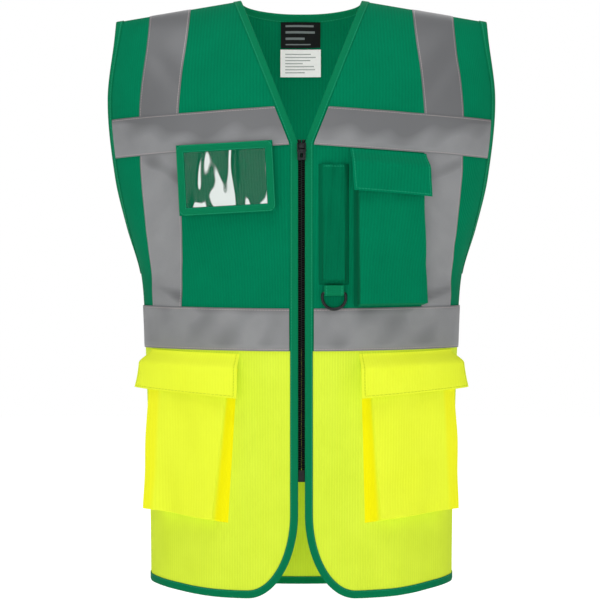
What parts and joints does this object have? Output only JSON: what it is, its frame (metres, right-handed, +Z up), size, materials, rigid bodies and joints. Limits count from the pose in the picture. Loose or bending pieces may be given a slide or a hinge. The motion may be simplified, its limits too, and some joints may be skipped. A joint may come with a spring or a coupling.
{
  "type": "high visibility vest",
  "caption": "Sleeveless zip-front work vest in two colours with reflective tapes, flapped pockets, a pen pocket, a hanging card holder and a ring.",
  "frame": {"origin": "midway between the two high shoulder points, on the line of the shoulder seams", "axes": "+X to the wearer's left, +Y to the wearer's back, +Z up"},
  "size_m": [0.4624, 0.2514, 0.7092],
  "materials": {
    "green_fabric": "knitted polyester, matt with a slight sheen",
    "yellow_fabric": "fluorescent knitted polyester, matt",
    "green_binding": "folded woven tape, matt",
    "reflective_tape": "grey glass-bead tape, faint sheen",
    "hook_and_loop": "rough hook and loop",
    "zip_cloth": "woven tape, matt",
    "zip_plastic": "moulded, satin",
    "zip_metal": "black coating, satin",
    "black_plastic": "moulded, satin",
    "clear_window": "clear soft film, glossy",
    "black_label": "woven label, satin",
    "white_label": "printed woven label, matt"
  },
  "bodies": {
    "back": {"back_yoke": "green_fabric", "back_upper_panel": "green_fabric", "back_lower_panel": "yellow_fabric", "back_neck_binding": "green_binding", "back_hem_binding": "green_binding", "back_chest_tape": "reflective_tape", "back_waist_tape": "reflective_tape", "size_label": "black_label", "care_label": "white_label", "front_left_shoulder": "green_fabric", "front_right_shoulder": "green_fabric", "neck_binding_left": "green_binding", "neck_binding_right": "green_binding", "armhole_binding_left": "green_binding", "armhole_binding_right": "green_binding", "brace_left": "reflective_tape", "brace_right": "reflective_tape"},
    "front_left": {"front_left_upper_panel": "green_fabric", "front_left_lower_panel": "yellow_fabric", "front_left_binding": "green_binding", "armhole_binding_front_left": "green_binding", "chest_tape_left": "reflective_tape", "waist_tape_left": "reflective_tape", "brace_front_left": "reflective_tape", "zip_tape_left": "zip_cloth", "zip_teeth_left": "zip_plastic", "zip_stop_left": "zip_plastic", "lower_left_pocket": "yellow_fabric", "lower_left_loop_patch": "hook_and_loop", "zip_box": "zip_plastic", "pen_pocket": "green_fabric", "chest_pocket": "green_fabric", "chest_loop_patch": "hook_and_loop", "d_ring_tab": "green_fabric"},
    "front_right": {"front_right_upper_panel": "green_fabric", "front_right_lower_panel": "yellow_fabric", "front_right_binding": "green_binding", "armhole_binding_front_right": "green_binding", "chest_tape_right": "reflective_tape", "waist_tape_right": "reflective_tape", "brace_front_right": "reflective_tape", "zip_tape_right": "zip_cloth", "zip_teeth_right": "zip_plastic", "zip_stop_right": "zip_plastic", "lower_right_pocket": "yellow_fabric", "lower_right_loop_patch": "hook_and_loop", "zip_pin": "zip_plastic"},
    "zip_slider": {"zip_slider": "zip_metal"},
    "zip_pull": {"zip_pull": "zip_metal"},
    "chest_flap": {"chest_flap": "green_fabric", "chest_hook_patch": "hook_and_loop"},
    "lower_left_flap": {"lower_left_flap": "yellow_fabric", "lower_left_hook_patch": "hook_and_loop"},
    "lower_right_flap": {"lower_right_flap": "yellow_fabric", "lower_right_hook_patch": "hook_and_loop"},
    "id_holder": {"id_holder_backing": "green_fabric", "id_holder_frame": "green_binding", "id_holder_window": "clear_window"},
    "d_ring": {"d_ring": "black_plastic"}
  },
  "joints": [
    {"name": "front_left_open", "type": "hinge", "parent": "back", "child": "front_left", "pos_m": [0.194, 0, -0.326], "axis": [0.0329, 0, 0.9995], "range_deg": [0, 50]},
    {"name": "front_right_open", "type": "hinge", "parent": "back", "child": "front_right", "pos_m": [-0.194, 0, -0.326], "axis": [0.0329, 0, -0.9995], "range_deg": [0, 50]},
    {"name": "zip_slide", "type": "slide", "parent": "front_left", "child": "zip_slider", "axis": [0, 0, -1], "range_m": [0, 0.37]},
    {"name": "pull_swing", "type": "hinge", "parent": "zip_slider", "child": "zip_pull", "pos_m": [0, -0.1234, -0.1775], "axis": [-1, 0, 0], "range_deg": [0, 150]},
    {"name": "chest_flap_lift", "type": "hinge", "parent": "front_left", "child": "chest_flap", "pos_m": [0.10468, -0.1155, -0.18366], "axis": [-0.9869, -0.1468, 0.0675], "range_deg": [0, 110]},
    {"name": "lower_left_flap_lift", "type": "hinge", "parent": "front_left", "child": "lower_left_flap", "pos_m": [0.13783, -0.09371, -0.4184], "axis": [-0.8683, -0.4945, -0.0391], "range_deg": [0, 100]},
    {"name": "lower_right_flap_lift", "type": "hinge", "parent": "front_right", "child": "lower_right_flap", "pos_m": [-0.13958, -0.09268, -0.4184], "axis": [-0.8608, 0.5073, 0.0406], "range_deg": [0, 100]},
    {"name": "id_holder_lift", "type": "hinge", "parent": "front_right", "child": "id_holder", "pos_m": [-0.09063, -0.1197, -0.17403], "axis": [-0.9911, 0.1227, -0.0523], "range_deg": [0, 110]},
    {"name": "d_ring_swing", "type": "hinge", "parent": "front_left", "child": "d_ring", "pos_m": [0.03807, -0.12275, -0.35001], "axis": [-0.9984, -0.0562, 0], "range_deg": [0, 100]}
  ]
}
